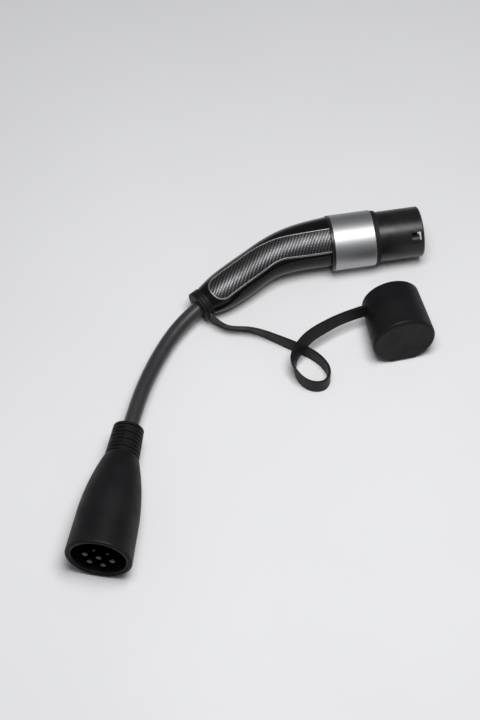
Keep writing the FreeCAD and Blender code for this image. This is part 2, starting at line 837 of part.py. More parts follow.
def make_cable():
    exit_reach = collar_groove()[3]
    route = [
        NECK_PLACE.multVec(Vector(float(exit_reach - z.cable_in_handle), 0, 0)),
        NECK_PLACE.multVec(Vector(float(exit_reach) + 12.3, 0, 0)),
        Vector(-304.0, -103.0, 16.5),
        COUPLER_PLACE.multVec(Vector(-22.7, 0, 0)),
        COUPLER_PLACE.multVec(Vector(float(z.cable_in_coupler), 0, 0)),
    ]
    bends = widest_bends(route)
    shape, spine = tube(route, float(z.cable_radius), bends)
    print("cable radii", [round(b, 1) for b in bends[1:-1]], "length", round(spine.Length, 1))
    full = math.pi * float(z.cable_radius) ** 2 * spine.Length
    print("cable volume ratio", round(shape.Volume / full, 5))
    print("cable route", [tuple(round(c, 2) for c in p) for p in route])
    solid_feature("cable", shape)


# Seven insulated cores that fan out from the cable's end to the contacts or pins
def core_bundle():
    """(target name, angle, place in the cable) for each core, as (y, z) offsets."""
    power = [(name, angle, float(z.core_ring), float(z.core_radius)) for name, angle in POWER_PLACES]
    signal = [(n, a, float(z.core_ring), float(z.signal_core_radius)) for n, a in SIGNAL_PLACES]
    return power + signal


def make_cores_in_handle():
    cores = []
    tail = float(z.carrier_seat) - float(z.crimp_length)
    end_reach = float(collar_groove()[3] - z.cable_in_handle)
    gather = float(ring_back) - 6
    for name, angle, ring, radius in [("earth", 0.0, 0.0, float(z.core_radius))] + core_bundle():
        at_contact = Vector(tail - 0.1, *hexagon_place(angle)) if ring else Vector(tail - 0.1, 0, 0)
        fan = at_contact + Vector(-5, 0, 0)
        y = ring * sine(angle)
        across = ring * cosine(angle)
        join = Vector(gather, y, across)
        lag = y * math.tan(math.radians(float(z.bend_angle)) / 2)
        corner = Vector(float(z.bend_vertex) - lag, y, across)
        end = NECK_IN_PLUG.multVec(Vector(end_reach - 0.1, -y, across))
        points = [end, corner, join, fan, at_contact] if ring else [end, corner, at_contact]
        bends = widest_bends(points)
        shape, spine = tube(points, radius, bends)
        cores.append(shape)
    solid_feature("handle_cores", Part.makeCompound(cores), PLUG_PLACE)


def make_cores_in_coupler():
    cores = []
    start = float(z.cable_in_coupler) + 0.1
    tail = float(z.coupler_length - z.pin_face_depth - z.pin_carrier_thickness - z.pin_tail) - 0.1
    for name, angle, ring, radius in [("earth", 0.0, 0.0, float(z.core_radius))] + core_bundle():
        if not ring:
            cores.append(Part.makeCylinder(radius, tail - start, Vector(start, 0, 0), Vector(1, 0, 0)))
            continue
        y, across = hexagon_place(angle)
        near = Vector(start, ring * sine(angle), ring * cosine(angle))
        far = Vector(tail, y, across)
        points = [near, near + Vector(14, 0, 0), far - Vector(14, 0, 0), far]
        shape, spine = tube(points, radius, widest_bends(points))
        cores.append(shape)
    solid_feature("coupler_cores", Part.makeCompound(cores), PIN_PLACE)


# Cap: a tapered D-shaped cup with a flat underside
def d_wire(x, radius, flat):
    """A circle of the cap's frame cut by a flat below its axis."""
    half = math.sqrt(radius * radius - flat * flat)
    left = Vector(x, -half, -flat)
    right = Vector(x, half, -flat)
    arc = Part.Arc(left, Vector(x, 0, radius), right)
    return Part.Wire([arc.toShape(), Part.LineSegment(right, left).toShape()])


def cap_place():
    """The cap lies on its flat, which runs from the rim down to the wider closed face."""
    pitch = math.degrees(math.atan2(float(z.cap_face_flat - z.cap_rim_flat), float(z.cap_length)))
    height = float(z.cap_rim_flat) * cosine(pitch)
    spin = Rotation(Vector(0, 0, 1), float(z.cap_heading)) * Rotation(Vector(0, 1, 0), -pitch)
    return Placement(Vector(float(z.cap_rim_x), float(z.cap_rim_y), height), spin)


def cap_cavity():
    radius = float(z.plug_radius + z.cap_cavity_gap)
    flat = float(z.plug_flat + z.cap_cavity_gap)
    ends = [d_wire(-1, radius, flat), d_wire(float(z.cap_depth), radius, flat)]
    return Part.makeLoft(ends, True, True)


def cap_shell():
    length = float(z.cap_length)
    rim = d_wire(0, float(z.cap_rim_radius), float(z.cap_rim_flat))
    face = d_wire(length, float(z.cap_face_radius), float(z.cap_face_flat))
    outer = Part.makeLoft([rim, face], True, True)
    for end, radius in ((length, z.cap_face_round), (0, z.cap_rim_round)):
        edges = [e for e in outer.Edges if all(abs(v.X - end) < 1e-4 for v in e.Vertexes)]
        outer = outer.makeFillet(float(radius), edges)
    return outer.cut(cap_cavity())


# Strap: a flat strip on edge from the neck to the cap, in one open loop that passes over itself.
# Each station is (x, y, height of the strip's middle, lean of its top to the left of the way on).
STRAP_HEADING = -61.2
STRAP_DROP = 20.0
STRAP_STATIONS = [
    (-235.5, -69.2, 12.0, -14),
    (-227.0, -74.8, 9.6, -23),
    (-214.1, -79.2, 8.9, -24),
    (-204.5, -81.8, 8.9, -21),
    (-190.0, -89.2, 8.9, -13),
    (-175.4, -99.4, 8.9, -6),
    (-156.7, -113.1, 8.8, 0),
    (-142.0, -125.0, 8.8, 0),
    (-131.6, -139.9, 8.8, 0),
    (-129.2, -153.0, 8.8, 0),
    (-135.7, -163.7, 8.8, 0),
    (-146.5, -164.5, 8.9, 0),
    (-157.2, -157.7, 10.0, 3),
    (-163.6, -146.5, 13.9, 8),
    (-163.6, -134.0, 20.7, 13),
    (-155.6, -124.3, 26.2, 16),
    (-143.5, -114.5, 28.4, 14),
    (-128.2, -106.8, 29.0, 11),
    (-110.5, -99.6, 28.9, 6),
    (-93.1, -94.6, 28.5, 4),
    (-79.0, -91.6, 28.2, 4),
]


def make_strap_shape():
    middle = collar_groove()[1] + z.groove_gap / 2 + z.eyelet_thickness / 2
    centre = NECK_PLACE.multVec(Vector(float(middle), 0, 0))
    slope = -math.tan(math.radians(STRAP_DROP))
    down = Vector(cosine(STRAP_HEADING), sine(STRAP_HEADING), slope).normalize()
    points = [centre + down * 13.0, centre + down * 17.5]
    points += [Vector(x, y, h) for x, y, h, lean in STRAP_STATIONS]
    leans = [-6.0, -7.0] + [lean for x, y, h, lean in STRAP_STATIONS]
    curve = Part.BSplineCurve()
    curve.interpolate(points)
    steps = [curve.parameter(point) for point in points]
    wide = float(z.strap_width) / 2
    thick = float(z.strap_thickness) / 2
    corners = [[], [], [], []]
    for point, step, lean in zip(points, steps, leans):
        along = curve.tangent(step)[0]
        level = Vector(along.x, along.y, 0).normalize()
        side = Vector(-level.y, level.x, 0)
        up = Vector(0, 0, 1) * cosine(lean) + side * sine(lean)
        across = up.cross(along).normalize()
        up = along.cross(across).normalize()
        for corner, (a, b) in zip(corners, ((1, 1), (1, -1), (-1, -1), (-1, 1))):
            corner.append(point + up * wide * a + across * thick * b)
    rails = []
    for corner in corners:
        rail = Part.BSplineCurve()
        rail.interpolate(Points=corner, Parameters=steps)
        rails.append(rail.toShape())
    faces = [Part.makeRuledSurface(rails[i - 1], rails[i]) for i in range(4)]
    for end in (0, -1):
        faces.append(Part.Face(Part.makePolygon([corner[end] for corner in corners + corners[:1]])))
    shell = Part.makeShell(faces)
    shell.sewShape()
    strap = Part.makeSolid(shell)
    if strap.Volume < 0:
        strap.reverse()
    return strap


def make_eyelet_shape():
    groove = collar_groove()[1] + z.groove_gap / 2
    thick = float(z.eyelet_thickness)
    outer = Part.makeCylinder(float(z.collar_radius), thick)
    hole = Part.makeCylinder(float(z.groove_radius + z.swivel_gap), thick)
    ring = outer.cut(hole)
    ring.Placement = NECK_PLACE * Placement(Vector(float(groove), 0, 0), Rotation(Vector(0, 1, 0), 90))
    return ring


def collar_space():
    """The collar's hub and its two flanges with room to swivel, which the strap's root keeps out of."""
    start, groove, groove_end, end = (float(level) for level in collar_groove())
    gap = float(z.swivel_gap)
    side = float(z.groove_gap) / 2
    hub = float(z.groove_radius) + gap
    flange = float(z.collar_radius) + gap
    turn = Rotation(Vector(0, 1, 0), 90)
    discs = []
    near = (flange, start - 5, groove + side)
    far = (flange, groove_end - side, end + 5)
    for radius, low, high in ((hub, start, end), near, far):
        disc = Part.makeCylinder(radius, high - low)
        disc.Placement = NECK_PLACE * Placement(Vector(low, 0, 0), turn)
        discs.append(disc)
    return discs


def make_tethered_cap():
    cap = cap_shell()
    cap.Placement = cap_place()
    hollow = cap_cavity()
    hollow.Placement = cap_place()
    strap = make_strap_shape().cut([hollow] + collar_space())
    whole = cap.fuse([strap, make_eyelet_shape()])
    solid_feature("tethered_cap", whole)


# Coupler: the soft housing with its slotted bend relief is one moulding
def make_coupler_housing():
    length = z.coupler_length
    wall = z.coupler_wall
    bore = z.cable_radius + z.cable_gap
    cavity = z.relief_length + 4
    shell_back = length - z.shell_setback - z.shell_length
    outline = [
        (ZERO, bore + z.cable_flare),
        (ZERO, z.relief_end_radius),
        (z.relief_length, z.relief_root_radius),
        (length - z.shoulder_setback, z.shoulder_radius),
        (length, z.mouth_radius),
        (length, z.shell_radius),
        (shell_back, z.shell_radius),
        (shell_back, z.shell_radius - wall / 2),
        (cavity + 26, z.relief_root_radius + 5),
        (cavity, z.clamp_radius + z.clamp_ear + 0.4),
        (cavity, bore),
        (z.relief_length / 2, bore),
    ]
    body = turned("coupler_housing", outline, COUPLER_PLACE, arcs=(2,))
    round_rims(body, [(length, z.mouth_radius)], z.lip_round)
    round_rims(body, [(length, z.shell_radius)], z.lip_inner_round)

    # Slots: each level is two arcs with bridges between, every other level turned a quarter
    sketch_plane = next(f for f in body.Origin.OriginFeatures if f.Role == "YZ_Plane")
    for level in range(8):
        sketch = body.newObject("Sketcher::SketchObject", f"slot_sketch{level}")
        sketch.AttachmentSupport = [(sketch_plane, "")]
        sketch.MapMode = "FlatFace"
        place = z.relief_first_slot + z.relief_pitch * level
        sketch.setExpression("AttachmentOffset.Base.z", place.text)
        turn = float(z.relief_roll) + 90 * (level % 2)
        inner = float(z.relief_core_radius)
        outer = float(z.relief_root_radius) + 3
        half_bridge = float(z.relief_bridge) / 2
        for side in (0, 180):
            points = []
            for radius in (inner, outer):
                gap = math.degrees(math.asin(half_bridge / radius))
                low = side + turn + gap
                high = side + turn + 180 - gap
                circle = Part.Circle(Vector(), Vector(0, 0, 1), radius)
                arc = Part.ArcOfCircle(circle, math.radians(low), math.radians(high))
                sketch.addGeometry(arc, False)
                points.append([Vector(radius * cosine(a), radius * sine(a), 0) for a in (low, high)])
            for end in (0, 1):
                sketch.addGeometry(Part.LineSegment(points[0][end], points[1][end]), False)
        pocket = body.newObject("PartDesign::Pocket", f"slot{level}")
        pocket.Profile = sketch
        pocket.Length = float(z.relief_slot)
        pocket.setExpression("Length", z.relief_slot.text)
        pocket.Reversed = True
        doc.recompute()
    return body


def make_coupler_insides():
    length = z.coupler_length
    face = length - z.pin_face_depth
    back = face - z.pin_carrier_thickness
    front = length - z.shell_setback
    seat = z.mouth_bore + z.carrier_seat_step
    outline = [
        (front - z.shell_length, seat),
        (front - z.shell_length, z.shell_radius - z.slip),
        (front, z.shell_radius - z.slip),
        (front, z.mouth_bore),
        (face, z.mouth_bore),
        (face, seat),
    ]
    shell = turned("coupler_shell", outline, PIN_PLACE)
    round_rims(shell, [(front, z.mouth_bore)], z.lip_inner_round)

    disc = cylinder("pin_disc", seat - z.slip, back, face)
    holes = []
    for name, angle in [("earth", None)] + POWER_PLACES + SIGNAL_PLACES:
        y, across = (0.0, 0.0) if angle is None else hexagon_place(angle)
        radius = z.signal_pin_radius if name.startswith("signal") else z.power_pin_radius
        holes.append(cylinder(f"pin_hole_{name}", radius + z.pin_shoulder + z.slip, back, face, y, across))
    register("pin_carrier", combine("Part::Cut", "pin_carrier", disc, holes), PIN_PLACE)

    lock_back = back - z.lock_ring_length
    outline = ring_outline(lock_back, back, z.lock_ring_bore, seat - z.slip)
    turned("carrier_lock_ring", outline, PIN_PLACE)


def make_pin(name, y, across, radius):
    tip = z.coupler_length - z.pin_tip_depth
    face = z.coupler_length - z.pin_face_depth
    back = face - z.pin_carrier_thickness
    tail = back - z.pin_tail
    wide = radius + z.pin_collar
    outline = [
        (tail, ZERO),
        (tail, wide),
        (back, wide),
        (back, radius + z.pin_shoulder),
        (face, radius + z.pin_shoulder),
        (face, radius),
        (tip, radius),
        (tip, ZERO),
    ]
    body = turned(name, outline, PIN_PLACE * Placement(Vector(0, y, across), Rotation()))
    round_rims(body, [(tip, radius)], z.pin_round)


def make_pins():
    make_pin("earth_pin", 0, 0, z.power_pin_radius)
    for place, angle in POWER_PLACES:
        make_pin(f"power_pin_{place}", *hexagon_place(angle), z.power_pin_radius)
    for place, angle in SIGNAL_PLACES:
        make_pin(place.replace("signal", "signal_pin"), *hexagon_place(angle), z.signal_pin_radius)


make_shroud()
make_rings()
make_carrier()
make_contacts()
make_handle()
make_collar()
make_clamp("cord", NECK_PLACE, float(z.neck_reach - z.neck_wall - z.collar_rim_length - z.clamp_standoff))
make_cable()
make_cores_in_handle()
make_tethered_cap()
make_coupler_housing()
make_coupler_insides()
make_pins()
make_clamp("coupler", COUPLER_PLACE, float(z.relief_length + z.clamp_standoff))
make_cores_in_coupler()
doc.recompute()

# The origin is the middle of the floor area that the object covers without its cable
for thing, place in pieces.values():
    thing.Placement = place
doc.recompute()
bounds = FreeCAD.BoundBox()
for name, (thing, place) in pieces.items():
    if name != "cable":
        bounds.add(thing.Shape.optimalBoundingBox(False))
shift = Placement(Vector(-bounds.Center.x, -bounds.Center.y, -bounds.ZMin), Rotation())
for thing, place in pieces.values():
    thing.Placement = shift * place
doc.recompute()
print("shift", shift.Base, "bounds", bounds)

# Checks, then one file for each sub-part
for item in doc.Objects:
    bad = [state for state in item.State if state in ("Invalid", "Error")]
    if bad:
        raise RuntimeError(f"{item.Label} is {bad}")
os.makedirs("parts", exist_ok=True)
for name, (thing, place) in pieces.items():
    shape = thing.Shape
    if shape.isNull() or not shape.isValid() or not shape.Solids:
        raise RuntimeError(f"{name} has no valid solid")
    shape.exportStep(f"parts/{name}.step")
    print(name, len(shape.Solids), round(shape.Volume, 1))
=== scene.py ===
"""Charging adapter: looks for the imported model, on a plain pale floor in soft studio light."""
import math

import bmesh
import bpy
import numpy as np
from mathutils import Matrix, Vector


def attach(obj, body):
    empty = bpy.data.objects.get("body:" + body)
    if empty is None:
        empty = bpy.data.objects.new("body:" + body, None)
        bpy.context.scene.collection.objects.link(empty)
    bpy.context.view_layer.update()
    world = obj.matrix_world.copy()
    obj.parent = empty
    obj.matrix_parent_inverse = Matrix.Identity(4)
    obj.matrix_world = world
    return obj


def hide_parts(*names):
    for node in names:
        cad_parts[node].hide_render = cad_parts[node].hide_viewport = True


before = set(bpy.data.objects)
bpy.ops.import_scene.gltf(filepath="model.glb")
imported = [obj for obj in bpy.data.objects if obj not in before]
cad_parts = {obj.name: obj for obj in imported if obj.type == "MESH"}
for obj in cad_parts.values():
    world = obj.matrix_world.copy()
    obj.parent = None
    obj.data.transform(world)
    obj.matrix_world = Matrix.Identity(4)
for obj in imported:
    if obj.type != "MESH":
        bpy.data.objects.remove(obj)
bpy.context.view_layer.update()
MM = 0.001
ADAPTER = "adapter"


def turn(degrees, axis):
    return Matrix.Rotation(math.radians(degrees), 4, axis)


def shift(x, y, z):
    return Matrix.Translation((x * MM, y * MM, z * MM))


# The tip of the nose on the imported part, in millimetres
NOSE_TIP = (214.819, 160.912, 30.3)

# Sizes as in the part's source, in millimetres and degrees
HANDLE_ROLL = 12.0
RING_BACK = -98.5
BACK_RING_LENGTH = 3.2
BEND_VERTEX = -158.8
BEND_ANGLE = 29.3
BEND_RADIUS = 139.0
NECK_REACH = 98.1
NECK_WALL = 5.0
COLLAR_RADIUS = 16.9
COLLAR_RIM_LENGTH = 2.4
COLLAR_FLANGE = 3.4
COLLAR_GROOVE = 3.6
COLLAR_END = NECK_REACH + COLLAR_FLANGE + COLLAR_GROOVE + COLLAR_FLANGE
CABLE_RADIUS = 8.0

# The plug's frame, which looks along its nose, and the neck's, which looks along the cable
PLUG = shift(*NOSE_TIP) @ turn(HANDLE_ROLL, "X")
NECK = PLUG @ shift(BEND_VERTEX, 0, 0) @ turn(180 + BEND_ANGLE, "Z")


def add_object(name, data):
    """Puts new data in the scene as an object."""
    item = bpy.data.objects.new(name, data)
    bpy.context.scene.collection.objects.link(item)
    return item


# Sockets of the colour mixing node, by number because several share a name
MIX_AMOUNT = 0
MIX_FIRST = 6
MIX_SECOND = 7
MIX_RESULT = 2

# An edge starts to show where its softened and its true direction agree by this much, and shows
# in full where they agree by the second
EDGE_START = 0.98
EDGE_FULL = 0.75


class Look:
    """A material, and the nodes that vary it over the surface."""

    def __init__(self, name, colour, roughness, metallic=0.0, **sockets):
        self.material = bpy.data.materials.new(name)
        self.material.use_nodes = True
        self.nodes = self.material.node_tree.nodes
        self.links = self.material.node_tree.links
        self.shader = self.nodes["Principled BSDF"]
        self.colour = (*colour, 1)
        self.shader.inputs["Base Color"].default_value = self.colour
        self.shader.inputs["Roughness"].default_value = roughness
        self.shader.inputs["Metallic"].default_value = metallic
        for socket, value in sockets.items():
            self.shader.inputs[socket.replace("_", " ")].default_value = value
        self.place = self.nodes.new("ShaderNodeTexCoord").outputs["Object"]
        self.tint = None
        self.normal = None

    def stretched(self, scale, matrix):
        """Object coordinates, turned into a part's own frame if one is given, and stretched."""
        place = self.place
        if matrix is not None:
            inverse = matrix.inverted()
            mapping = self.nodes.new("ShaderNodeMapping")
            mapping.inputs["Location"].default_value = inverse.translation
            mapping.inputs["Rotation"].default_value = inverse.to_euler()
            self.links.new(place, mapping.inputs["Vector"])
            place = mapping.outputs["Vector"]
        mapping = self.nodes.new("ShaderNodeMapping")
        mapping.inputs["Scale"].default_value = scale
        self.links.new(place, mapping.inputs["Vector"])
        return mapping.outputs["Vector"]

    def noise(self, scale, detail, stretch=None, matrix=None):
        node = self.nodes.new("ShaderNodeTexNoise")
        node.inputs["Scale"].default_value = scale
        node.inputs["Detail"].default_value = detail
        vector = self.place if stretch is None else self.stretched(stretch, matrix)
        self.links.new(vector, node.inputs["Vector"])
        return node.outputs["Fac"]

    def cells(self, scale):
        """Distance from the nearest of many scattered points."""
        node = self.nodes.new("ShaderNodeTexVoronoi")
        node.inputs["Scale"].default_value = scale
        self.links.new(self.place, node.inputs["Vector"])
        return node.outputs["Distance"]

    def remap(self, value, low, high, to_low=0.0, to_high=1.0):
        """A value turned smoothly from one range into another."""
        node = self.nodes.new("ShaderNodeMapRange")
        node.interpolation_type = "SMOOTHSTEP"
        node.inputs["From Min"].default_value = low
        node.inputs["From Max"].default_value = high
        node.inputs["To Min"].default_value = to_low
        node.inputs["To Max"].default_value = to_high
        self.links.new(value, node.inputs["Value"])
        return node.outputs["Result"]

    def product(self, one, other):
        node = self.nodes.new("ShaderNodeMath")
        node.operation = "MULTIPLY"
        self.links.new(one, node.inputs[0])
        self.links.new(other, node.inputs[1])
        return node.outputs[0]

    def blend(self, amount, colour, mode="MIX"):
        """Lays another colour over the colour so far, by an amount."""
        node = self.nodes.new("ShaderNodeMix")
        node.data_type = "RGBA"
        node.blend_type = mode
        if self.tint is None:
            node.inputs[MIX_FIRST].default_value = self.colour
        else:
            self.links.new(self.tint, node.inputs[MIX_FIRST])
        node.inputs[MIX_SECOND].default_value = (*colour, 1)
        self.links.new(amount, node.inputs[MIX_AMOUNT])
        self.tint = node.outputs[MIX_RESULT]
        self.links.new(self.tint, self.shader.inputs["Base Color"])

    def rough(self, value, smooth, coarse, low=0.3, high=0.7):
        """Roughness that goes from smooth to coarse as a value goes from low to high."""
        self.links.new(self.remap(value, low, high, smooth, coarse), self.shader.inputs["Roughness"])

    def bump(self, height, distance, strength):
        node = self.nodes.new("ShaderNodeBump")
        node.inputs["Distance"].default_value = distance
        node.inputs["Strength"].default_value = strength
        self.links.new(height, node.inputs["Height"])
        if self.normal is not None:
            self.links.new(self.normal, node.inputs["Normal"])
        self.normal = node.outputs["Normal"]
        self.links.new(self.normal, self.shader.inputs["Normal"])

    def edges(self, radius):
        """One along the edges of the shape and none on its faces."""
        bevel = self.nodes.new("ShaderNodeBevel")
        bevel.samples = 4
        bevel.inputs["Radius"].default_value = radius
        here = self.nodes.new("ShaderNodeNewGeometry").outputs["Normal"]
        dot = self.nodes.new("ShaderNodeVectorMath")
        dot.operation = "DOT_PRODUCT"
        self.links.new(bevel.outputs["Normal"], dot.inputs[0])
        self.links.new(here, dot.inputs[1])
        return self.remap(dot.outputs["Value"], EDGE_START, EDGE_FULL)


def black_plastic():
    """Nose, rear ring: fine spark-eroded grain, and slightly paler edges, partly wear and partly a
    painted highlight.
    """
    look = Look("black_plastic", (0.006, 0.006, 0.0065), 0.32, Specular_IOR_Level=0.35)
    look.rough(look.noise(90, 4), 0.28, 0.37)
    look.blend(look.remap(look.noise(35, 5), 0.35, 0.75), (0.014, 0.014, 0.015))
    # Paler along the edges: partly wear, partly a painted highlight.
    look.blend(look.edges(0.0006), (0.04, 0.04, 0.042))
    look.bump(look.noise(2600, 2), 0.00002, 0.5)
    return look.material


def gloss_black():
    """Handle: polished moulding with a faint flow ripple, hairline scuffs, and paler edges, partly
    wear and partly a painted highlight.
    """
    look = Look("gloss_black", (0.004, 0.004, 0.0044), 0.16, Specular_IOR_Level=0.2)
    look.rough(look.noise(60, 6), 0.11, 0.22, low=0.35, high=0.75)
    scuffs = look.remap(look.noise(800, 2, stretch=(0.06, 1, 1)), 0.7, 0.76)
    look.blend(scuffs, (0.01, 0.01, 0.011))
    # Paler along the edges: partly wear, partly a painted highlight.
    look.blend(look.edges(0.0005), (0.025, 0.025, 0.027))
    look.bump(look.noise(160, 2), 0.00004, 0.3)
    return look.material


def soft_rubber():
    """Coupler, cap, strap, collar, gasket: soft-touch surface with fine pores, dust, and pale edges,
    partly wear and partly a painted highlight.
    """
    look = Look("soft_rubber", (0.0052, 0.0053, 0.0061), 0.5, Specular_IOR_Level=0.15)
    look.rough(look.noise(70, 5), 0.45, 0.58)
    look.blend(look.remap(look.noise(24, 6), 0.35, 0.75), (0.0088, 0.009, 0.0099))
    specks = look.remap(look.cells(420), 0.13, 0.08)
    patches = look.remap(look.noise(45, 3), 0.5, 0.68, 0.0, 0.2)
    look.blend(look.product(specks, patches), (0.06, 0.06, 0.058))
    # Pale along the edges: partly wear, partly a painted highlight on the rims and the strap's top
    # edge.
    look.blend(look.edges(0.0006), (0.045, 0.046, 0.049))
    look.bump(look.cells(1900), 0.00003, 0.5)
    look.bump(look.noise(260, 3), 0.00005, 0.3)
    return look.material


def cable_sheath():
    """Cable: extruded sheath, a little paler and shinier, with a faint lay under the skin."""
    look = Look("cable_sheath", (0.026, 0.0265, 0.0275), 0.38, Specular_IOR_Level=0.5)
    look.rough(look.noise(120, 4), 0.33, 0.43)
    look.blend(look.remap(look.noise(40, 6), 0.35, 0.75), (0.03, 0.0305, 0.032))
    look.bump(look.noise(1500, 3), 0.00003, 0.5)
    look.bump(look.noise(75, 1), 0.0003, 0.15)
    return look.material


def satin_metal():
    """Ring: satin aluminium, turned so finely that its lines only soften the shine, with a painted
    highlight along its edges.
    """
    look = Look("satin_metal", (0.45, 0.452, 0.456), 0.48, 1.0)
    look.rough(look.noise(1, 4, stretch=(2600, 20, 20), matrix=PLUG), 0.45, 0.51)
    look.blend(look.remap(look.noise(30, 4), 0.3, 0.75), (0.425, 0.428, 0.432))
    # Brighter along the edges: a painted highlight.
    look.blend(look.edges(0.0005), (0.75, 0.76, 0.77))
    look.bump(look.noise(1800, 2), 0.000006, 0.3)
    return look.material


def silver_grip():
    """Grip panel: silver-grey metallic film, with painted shade darkening the grooves of its weave."""
    look = Look("silver_grip", (0.125, 0.126, 0.129), 0.4, 0.85)
    look.rough(look.noise(140, 4), 0.36, 0.44)
    look.blend(look.remap(look.noise(60, 5), 0.35, 0.75), (0.11, 0.111, 0.114))
    # Painted shade: the colour darkens with the depth of the weave's grooves.
    depth = look.nodes.new("ShaderNodeAttribute")
    depth.attribute_name = "groove"
    look.blend(look.remap(depth.outputs["Fac"], 0.1, 0.9), (0.028, 0.028, 0.029))
    look.bump(look.noise(4200, 2), 0.00001, 0.4)
    return look.material


def bright_trim():
    """Trim: bright plating with a slight haze."""
    look = Look("bright_trim", (0.3, 0.3, 0.306), 0.48, 1.0)
    look.rough(look.noise(200, 4), 0.44, 0.52)
    look.blend(look.remap(look.noise(80, 5), 0.45, 0.8), (0.26, 0.26, 0.266))
    return look.material


def contact_metal():
    """Pins and sleeves: plating darkened as painted shade, with a warm tarnish and painted glints
    along the edges.
    """
    # The near-black base colour is painted shade, standing in for dark reflections in the metal.
    look = Look("contact_metal", (0.042, 0.0415, 0.04), 0.16, 1.0)
    look.rough(look.noise(500, 4), 0.14, 0.26)
    look.blend(look.remap(look.noise(220, 5), 0.5, 0.8), (0.032, 0.03, 0.026))
    # Bright along the edges: painted glints.
    look.blend(look.edges(0.0003), (0.6, 0.59, 0.57))
    look.bump(look.noise(2500, 2), 0.00001, 0.5)
    return look.material


def screw_steel():
    """Screws: zinc-plated steel with cloudy patches."""
    look = Look("screw_steel", (0.5, 0.5, 0.5), 0.32, 1.0)
    look.rough(look.noise(700, 4), 0.25, 0.42)
    look.blend(look.remap(look.noise(300, 5), 0.4, 0.8), (0.36, 0.35, 0.34))
    look.bump(look.noise(3000, 2), 0.00002, 0.5)
    return look.material


# Each of the cores takes one of these colours
CORE_COLOURS = [
    (0.16, 0.05, 0.02),
    (0.012, 0.012, 0.013),
    (0.22, 0.22, 0.22),
    (0.02, 0.05, 0.22),
    (0.10, 0.28, 0.03),
]


def core_insulation():
    """Cores: coloured insulation, darker in patches."""
    look = Look("core_insulation", (0.2, 0.2, 0.2), 0.42)
    island = look.nodes.new("ShaderNodeNewGeometry").outputs["Random Per Island"]
    ramp = look.nodes.new("ShaderNodeValToRGB")
    ramp.color_ramp.interpolation = "CONSTANT"
    stops = ramp.color_ramp.elements
    while len(stops) < len(CORE_COLOURS):
        stops.new(len(stops) / len(CORE_COLOURS))
    for number, (stop, colour) in enumerate(zip(stops, CORE_COLOURS)):
        stop.position = number / len(CORE_COLOURS)
        stop.color = (*colour, 1)
    look.links.new(island, ramp.inputs["Fac"])
    look.tint = ramp.outputs["Color"]
    look.blend(look.remap(look.noise(260, 5), 0.3, 0.8, 0.0, 0.3), (0.5, 0.5, 0.5), mode="MULTIPLY")
    look.rough(look.noise(400, 3), 0.34, 0.5)
    look.bump(look.noise(1800, 2), 0.00002, 0.5)
    return look.material


def carrier_plastic():
    """Inner mouldings: black glass-filled plastic with a fine mottle, and slightly paler edges, partly
    wear and partly a painted highlight.
    """
    look = Look("carrier_plastic", (0.006, 0.006, 0.0065), 0.36, Specular_IOR_Level=0.12)
    look.rough(look.noise(110, 4), 0.3, 0.44)
    look.blend(look.remap(look.noise(900, 4), 0.5, 0.75), (0.01, 0.01, 0.0107))
    # Paler along the edges: partly wear, partly a painted highlight.
    look.blend(look.edges(0.0005), (0.014, 0.014, 0.015))
    look.bump(look.noise(2200, 3), 0.00002, 0.6)
    return look.material


def carrier_grey():
    """Contact carrier in the nose: dark grey glass-filled plastic."""
    look = Look("carrier_grey", (0.035, 0.035, 0.037), 0.4, Specular_IOR_Level=0.4)
    look.rough(look.noise(110, 4), 0.35, 0.48)
    look.blend(look.remap(look.noise(900, 4), 0.5, 0.75), (0.045, 0.045, 0.047))
    look.bump(look.noise(2200, 3), 0.00002, 0.6)
    return look.material


LOOKS = {
    "black_plastic": black_plastic(),
    "gloss_black": gloss_black(),
    "soft_rubber": soft_rubber(),
    "cable_sheath": cable_sheath(),
    "satin_metal": satin_metal(),
    "silver_grip": silver_grip(),
    "bright_trim": bright_trim(),
    "contact_metal": contact_metal(),
    "screw_steel": screw_steel(),
    "core_insulation": core_insulation(),
    "carrier_plastic": carrier_plastic(),
    "carrier_grey": carrier_grey(),
}

# The looks that nodes take by their whole name, or by how it starts
LOOK_OF = {
    "plug_shroud": "black_plastic",
    "rear_ring": "black_plastic",
    "contact_carrier": "carrier_grey",
    "silver_ring": "satin_metal",
    "front_gasket": "soft_rubber",
    "neck_collar": "soft_rubber",
    "tethered_cap": "soft_rubber",
    "coupler_housing": "soft_rubber",
    "handle_cores": "core_insulation",
    "coupler_cores": "core_insulation",
    "cable": "cable_sheath",
}
LOOK_OF_START = {
    "handle_half": "gloss_black",
    "grip_panel": "silver_grip",
    "panel_trim": "bright_trim",
}


def look_of(node):
    """Name of the look that a CAD node takes."""
    if node in LOOK_OF:
        return LOOK_OF[node]
    for start, look in LOOK_OF_START.items():
        if node.startswith(start):
            return look
    if "screws" in node:
        return "screw_steel"
    if "_pin" in node or "_contact" in node:
        return "contact_metal"
    return "carrier_plastic"


def dress_cad_nodes():
    for node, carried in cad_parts.items():
        carried.data.materials.clear()
        carried.data.materials.append(LOOKS[look_of(node)])


def stand_for(piece, node, look):
    """Puts a visible piece in the place of a CAD node, with its look."""
    piece.data.materials.append(LOOKS[look])
    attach(piece, ADAPTER)
    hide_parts(node)


# Cable, from inside the handle to inside the coupler, in metres
CABLE_ROUTE = [
    (-0.01365, 0.12268, 0.02218),
    (-0.04933, 0.10308, 0.01801),
    (-0.08918, 0.05791, 0.01650),
    (-0.12559, -0.01257, 0.02608),
    (-0.15013, -0.08410, 0.02952),
]


